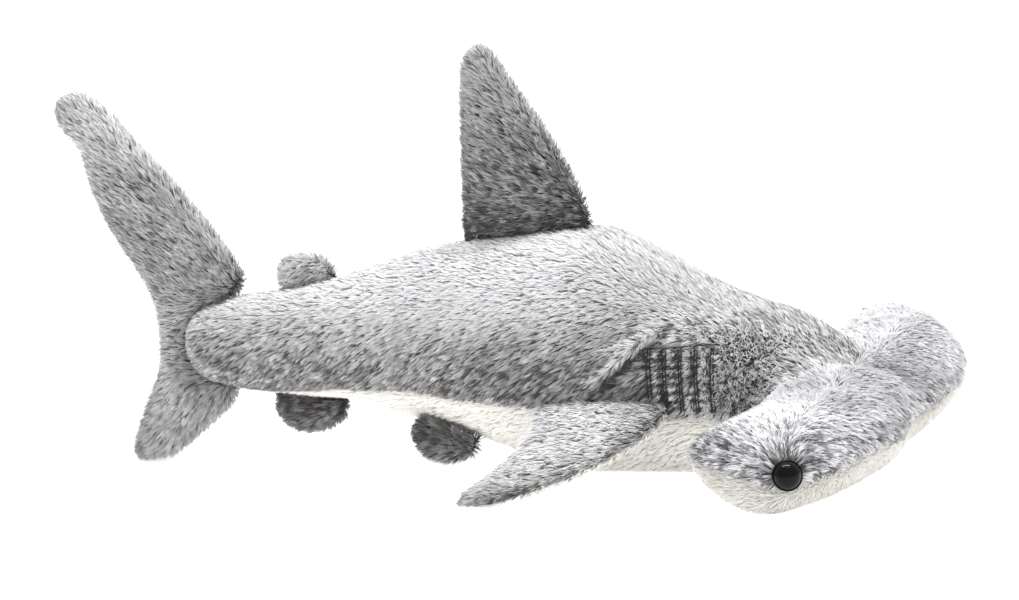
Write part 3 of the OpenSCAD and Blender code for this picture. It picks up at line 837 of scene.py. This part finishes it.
def pile_object(name, p, n, kind):
    """A ribbon of three triangles for each strand, narrowing to its tip."""
    root, middle, tip, v, wide = strands(p, n, kind)
    count = len(p)
    half = wide * (STRAND_WIDTH / 2) * rng.uniform(0.7, 1.15, count)[:, None]
    slim = half * 0.85
    co = np.stack([root - half, root + half, middle - slim, middle + slim, tip], 1).reshape(-1, 3)
    base = np.arange(count)[:, None, None] * 5
    tris = (base + np.array([[0, 1, 3], [0, 3, 2], [2, 3, 4]])[None]).reshape(-1, 3)
    mesh = bpy.data.meshes.new(name)
    mesh.vertices.add(len(co))
    mesh.vertices.foreach_set("co", co.ravel())
    mesh.loops.add(tris.size)
    mesh.loops.foreach_set("vertex_index", tris.ravel().astype(np.int32))
    mesh.polygons.add(len(tris))
    mesh.polygons.foreach_set("loop_start", np.arange(0, tris.size, 3, dtype=np.int32))
    mesh.update(calc_edges=True)
    layer = mesh.uv_layers.new(name="OFBake")
    u = np.array([0.02, 0.02, 0.5, 0.5, 0.98])
    dv = np.array([-0.006, 0.006, -0.005, 0.005, 0])
    uv = np.stack([np.tile(u, count), np.repeat(v, 5) + np.tile(dv, count)], 1)
    layer.data.foreach_set("uv", uv[tris.ravel()].astype(np.float32).ravel())
    shade_smooth(mesh)
    across = unit(np.cross(tip - root, wide))
    across *= np.sign((across * n).sum(axis=1, keepdims=True) + 1e-9)
    soft = unit(n * 0.75 + across * 0.35)
    mesh.normals_split_custom_set_from_vertices(np.repeat(soft, 5, axis=0))
    mesh.materials.append(PILES[KINDS[kind][0]])
    obj = bpy.data.objects.new(name, mesh)
    scene.collection.objects.link(obj)
    return obj


def scatter(mesh, density):
    """Even random points on a mesh with their normals."""
    co, n, t = points(mesh), normals(mesh), triangles(mesh)
    a, b, c = co[t[:, 0]], co[t[:, 1]], co[t[:, 2]]
    area = np.linalg.norm(np.cross(b - a, c - a), axis=1) / 2
    count = int(area.sum() / MM ** 2 * density)
    steps = (np.arange(count) + rng.uniform(0, 1, count)) / count * area.sum()
    f = np.searchsorted(np.cumsum(area), steps).clip(0, len(t) - 1)
    r, s = np.sqrt(rng.uniform(0, 1, count))[:, None], rng.uniform(0, 1, count)[:, None]
    w = [1 - r, r * (1 - s), r * s]
    return (sum(x * y[f] for x, y in zip(w, (a, b, c))),
            unit(sum(x * n[t[f, k]] for k, x in enumerate(w))))


def backing_object(name, faces, co):
    used = np.unique(np.concatenate([list(f) for f in faces]))
    remap = {int(v): k for k, v in enumerate(used)}
    obj = new_object(name, co[used], [[remap[i] for i in f] for f in faces])
    shade_smooth(obj.data)
    return obj


def seated(obj, body, bend):
    """Rides on its body, or, when a bend is given, stays where it is, baked into world space."""
    if bend is None:
        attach(obj, body)
    else:
        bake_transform(obj)
    return obj


def dress(skin, nearest, panels, kinds, body, bend):
    """Backing and pile for each panel of a skin."""
    mesh = skin.data
    co, n = points(mesh), normals(mesh)
    inner = co - n * BACKING_DEPTH
    inner[:, 2] = np.maximum(inner[:, 2], FLOOR_CLEAR)
    polys = [tuple(p.vertices) for p in mesh.polygons]
    owner = np.array([np.bincount(nearest[list(f)]).argmax() for f in polys])
    top_density = max(KINDS[k][6] for k in kinds)
    p, pn = scatter(mesh, top_density)
    clear = np.ones(len(p), bool)
    for origin, axis in EYES.values():
        rel = p - origin
        along = rel @ axis
        out = np.linalg.norm(rel - along[:, None] * axis, axis=1)
        clear &= (out > EYE_RIM - 0.3 * MM) | (np.abs(along) > EYE_POST)
    p, pn = p[clear], pn[clear]
    chosen = distances(twisted(p, -1), panels).argmin(axis=1)
    for k, (panel, kind) in enumerate(zip(panels, kinds)):
        faces = [f for f, o in zip(polys, owner) if o == k]
        cloth = backing_object(panel + "_cloth", faces, inner)
        backing = CREAM_CLOTH if KINDS[kind][0] == "cream" else GREY_CLOTH
        cloth.data.materials.append(BACKINGS.get(kind, backing))
        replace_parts(seated(cloth, body, bend), panel)
        mine = (chosen == k) & (rng.uniform(0, 1, len(p)) < KINDS[kind][6] / top_density)
        q, qn = p[mine], pn[mine]
        order = np.argsort(q[:, 0])
        for part, some in enumerate(np.array_split(order, -(-len(order) // MOST_STRANDS))):
            pile = pile_object(f"{panel}_pile_{part + 1}", q[some], qn[some], kind)
            seated(pile, body, bend)
    bpy.data.objects.remove(skin)


def stuffing(node, body, bend, tree):
    """The filling, a little smaller than the CAD node and everywhere well behind its skin."""
    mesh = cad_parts[node].data
    obj = new_object(node + "_fibre", points(mesh), [list(p.vertices) for p in mesh.polygons])
    co = twisted(points(obj.data) - normals(obj.data) * 0.5 * MM)
    for k, q in enumerate(co):
        hit, normal, _, _ = tree.find_nearest(q)
        if (Vector(q) - hit).dot(normal) > -FILLING_DEPTH:
            co[k] = hit - normal * FILLING_DEPTH
    move_points(obj.data, co)
    obj.data.materials.append(FIBRE)
    shade_smooth(obj.data)
    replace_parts(seated(obj, body, bend), node)


TORSO_PANELS = ["back_left", "back_right", "belly", "head_top", "head_underside"]
torso, nearest = make_skin("torso_skin", TORSO_PANELS, ["body_filling", "head_filling"],
                           voxel=2.6 * MM, swell=1.0 * MM, seam_depth=1.1 * MM, rounds=3)
shape_torso(torso)
torso_tree = tree_from(torso.data)
dress(torso, nearest, TORSO_PANELS, ["back", "back", "belly", "head", "chin"], "torso", None)
stuffing("body_filling", "torso", None, torso_tree)
stuffing("head_filling", "torso", None, torso_tree)

FINS = [
    # panels, filling, kinds, body, where the root's bend starts and ends in mm
    (["dorsal_left", "dorsal_right"], "dorsal_filling", ["dorsal", "dorsal"],
     "dorsal_fin", [(20, 0, 82), (20, 0, 96)]),
    (["rear_dorsal_left", "rear_dorsal_right"], "rear_dorsal_filling", ["rear_dorsal", "rear_dorsal"],
     "rear_dorsal_fin", [(-65, 0, 65), (-65, 0, 71)]),
    (["anal_left", "anal_right"], "anal_filling", ["small", "small"],
     "anal_fin", [(-70, 0, 24), (-70, 0, 18)]),
    (["tail_left", "tail_right"], "tail_filling", ["tail", "tail"],
     "tail_fin", [(-92, 0, 44), (-126, 0, 44)]),
]
for side, tag in ((1, "left"), (-1, "right")):
    FINS.append(([f"pectoral_top_{tag}", f"pectoral_under_{tag}"], f"pectoral_filling_{tag}",
                 ["pectoral", "under"], f"pectoral_fin_{tag}", [(55, 34 * side, 28), (55, 43 * side, 24)]))
    FINS.append(([f"pelvic_top_{tag}", f"pelvic_under_{tag}"], f"pelvic_filling_{tag}",
                 ["small", "under"], f"pelvic_fin_{tag}", [(-6, 15.5 * side, 14), (-6, 19.5 * side, 9)]))

for panels, filling, kinds, body, bend in FINS:
    skin, nearest = make_skin(body + "_skin", panels, [filling],
                              voxel=1.8 * MM, swell=0.5 * MM, seam_depth=0.35 * MM, rounds=2, onto=torso_tree)
    skin_tree = tree_from(skin.data)
    dress(skin, nearest, panels, kinds, body, bend)
    stuffing(filling, body, bend, skin_tree)


# ---- eyes: a glossy dome with a thin rim

def lathe(name, origin, axis, profile, sides=96):
    """A solid turned about an axis from radii and heights in mm, closed at its last point."""
    z = Vector(axis)
    x = z.orthogonal().normalized()
    y = z.cross(x)
    verts, faces = [], []
    for r, h in profile:
        for k in range(sides):
            a = 2 * math.pi * k / sides
            verts.append(Vector(origin) + (x * math.cos(a) * r + y * math.sin(a) * r + z * h) * MM)
    for i in range(len(profile) - 1):
        for k in range(sides):
            m = (k + 1) % sides
            faces.append([i * sides + k, i * sides + m, (i + 1) * sides + m, (i + 1) * sides + k])
    top = len(verts)
    verts.append(Vector(origin) + z * (profile[-1][1] + 0.002) * MM)
    last = top - sides
    faces += [[last + k, last + (k + 1) % sides, top] for k in range(sides)]
    obj = new_object(name, verts, faces)
    shade_smooth(obj.data)
    return obj


def dome_profile():
    """Radii and heights in mm: the post, the rim and the dome."""
    rim, dome = EYE_RIM / MM, EYE_DOME / MM
    foot = [(1.5, -EYE_POST / MM), (1.5, -0.6), (rim - 0.22, -0.6), (rim - 0.04, -0.35), (rim, 0.1),
            (rim - 0.06, 0.5), (rim - 0.2, 0.7), (dome + 0.06, 0.74), (dome - 0.04, 0.64)]
    middle = 0.7 - dome / 4
    arc = [(dome * math.cos(math.radians(a)), middle + dome * math.sin(math.radians(a)))
           for a in np.linspace(14, 89.5, 28)]
    return foot + arc


for name, (origin, axis) in EYES.items():
    dome = lathe(name + "_dome", origin, axis, dome_profile())
    dome.data.materials.append(BLACK_GLOSS)
    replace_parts(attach(dome, "torso"), name)
for name in ("eye_washer_left", "eye_washer_right"):
    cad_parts[name].data.materials.clear()
    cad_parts[name].data.materials.append(PLASTIC)


# ---- gill stitching: pairs of thread runs pulled into the pile, and one run across their tops

def on_skin(x, z, side, lift):
    hit, normal, _, _ = torso_tree.ray_cast(Vector((x, side * 0.08, z)), Vector((0, -side, 0)), 0.08)
    return None if hit is None else hit + normal * lift


THREAD_RADIUS = 0.2 * MM


def thread(run, radius, twist):
    """A tube of twisted thread through points, as rings of vertices."""
    verts, faces = [], []
    sides = 8
    for k, p in enumerate(run):
        ahead = run[min(k + 1, len(run) - 1)] - run[max(k - 1, 0)]
        z = ahead.normalized()
        x = z.orthogonal().normalized()
        y = z.cross(x)
        for s in range(sides):
            a = 2 * math.pi * s / sides + twist * k
            r = radius * (1 + 0.3 * math.cos(3 * (a - twist * k * 2)))
            verts.append(p + (x * math.cos(a) + y * math.sin(a)) * r)
    for k in range(len(run) - 1):
        for s in range(sides):
            m = (s + 1) % sides
            faces.append([k * sides + s, k * sides + m, (k + 1) * sides + m, (k + 1) * sides + s])
    first, last = list(range(sides)), (len(run) - 1) * sides
    faces += [first[::-1], [last + s for s in first]]
    return verts, faces


def stitches(side):
    """All the threads of one side: two for each gill line, and one across their tops."""
    verts, faces = [], []

    def add(run):
        run = [q for q in run if q is not None]
        if len(run) > 2:
            v, f = thread(run, THREAD_RADIUS, 0.5)
            faces.extend([[i + len(verts) for i in q] for q in f])
            verts.extend(v)

    for x, low in zip(GILL_X, GILL_LOW):
        for off in (-THREAD_APART, THREAD_APART):
            z = np.linspace(GILL_TOP, low, 56)
            wave = 0.28 * np.abs(np.sin((z - low) / (1.7 * MM) * math.pi))
            add([on_skin(x + off, h, side, (0.05 + w) * MM) for h, w in zip(z, wave)])
    x = np.linspace(GILL_X[0] - 3 * MM, GILL_X[-1] + 2 * MM, 60)
    wave = 0.35 * np.abs(np.sin((x - x[0]) / (2.5 * MM) * math.pi))
    add([on_skin(g, GILL_TOP + 0.3 * MM, side, (0.35 + w) * MM) for g, w in zip(x, wave)])
    return verts, faces


for side, name in ((1, "gill_stitches_left"), (-1, "gill_stitches_right")):
    obj = new_object(name + "_thread", *stitches(side))
    shade_smooth(obj.data)
    obj.data.materials.append(THREAD)
    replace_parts(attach(obj, "torso"), name)


# ---- floor, light and camera

def plain(name, color, roughness):
    mat, nodes, links, shader = node_material(name)
    n = nodes.new("ShaderNodeTexNoise")
    n.inputs["Scale"].default_value = 4
    tone = ramp(nodes, [(0.0, tuple(c * 0.995 for c in color)), (1.0, color)])
    links.new(n.outputs[0], tone.inputs[0])
    links.new(tone.outputs[0], shader.inputs["Base Color"])
    shader.inputs["Roughness"].default_value = roughness
    shader.inputs["Specular IOR Level"].default_value = 0
    shader.inputs["Emission Color"].default_value = (1, 1, 1, 1)
    shader.inputs["Emission Strength"].default_value = 0.7
    return mat


floor = new_object("floor", [(-30, -30, 0), (30, -30, 0), (30, 30, 0), (-30, 30, 0)], [[0, 1, 2, 3]])
floor.data.materials.append(plain("lit_white_floor", (0.8, 0.8, 0.8), 1.0))

world = bpy.data.worlds.new("studio")
scene.world = world
world.use_nodes = True
world.node_tree.nodes["Background"].inputs[0].default_value = (1, 1, 1, 1)
world.node_tree.nodes["Background"].inputs[1].default_value = 1.05


def softbox(name, at, to, size, power):
    light = bpy.data.lights.new(name, "AREA")
    light.shape = "RECTANGLE"
    light.size, light.size_y = size
    light.energy = power
    obj = bpy.data.objects.new(name, light)
    scene.collection.objects.link(obj)
    obj.location = at
    obj.rotation_euler = (Vector(to) - Vector(at)).to_track_quat("-Z", "Y").to_euler()


softbox("key", (0.0, 0.1, 1.3), (0.0, 0.0, 0.05), (1.2, 0.9), 7)
softbox("highlight", (0.054, 0.076, 1.0), (0.13, -0.08, 0.02), (0.8, 0.035), 10)

AZIMUTH, ELEVATION, ROLL = 26.0, 10.0, -5.549   # degrees
AWAY = 1.1
LOOK_AT = (0.012, 0, 0.0575)
a, e, roll = map(math.radians, (AZIMUTH, ELEVATION, ROLL))
back = Vector((math.sin(a) * math.cos(e), -math.cos(a) * math.cos(e), math.sin(e)))
right = Vector((math.cos(a), math.sin(a), 0))
up = back.cross(right)
camera_data = bpy.data.cameras.new("camera")
camera_data.sensor_width = 36
camera_data.lens = 114.2
camera = bpy.data.objects.new("camera", camera_data)
scene.collection.objects.link(camera)
camera.location = Vector(LOOK_AT) + back * AWAY
turned_right = right * math.cos(roll) + up * math.sin(roll)
turned_up = up * math.cos(roll) - right * math.sin(roll)
rows = [[turned_right[k], turned_up[k], back[k]] for k in range(3)]
camera.rotation_euler = Matrix(rows).to_euler()
scene.camera = camera
scene.view_settings.view_transform = "Standard"
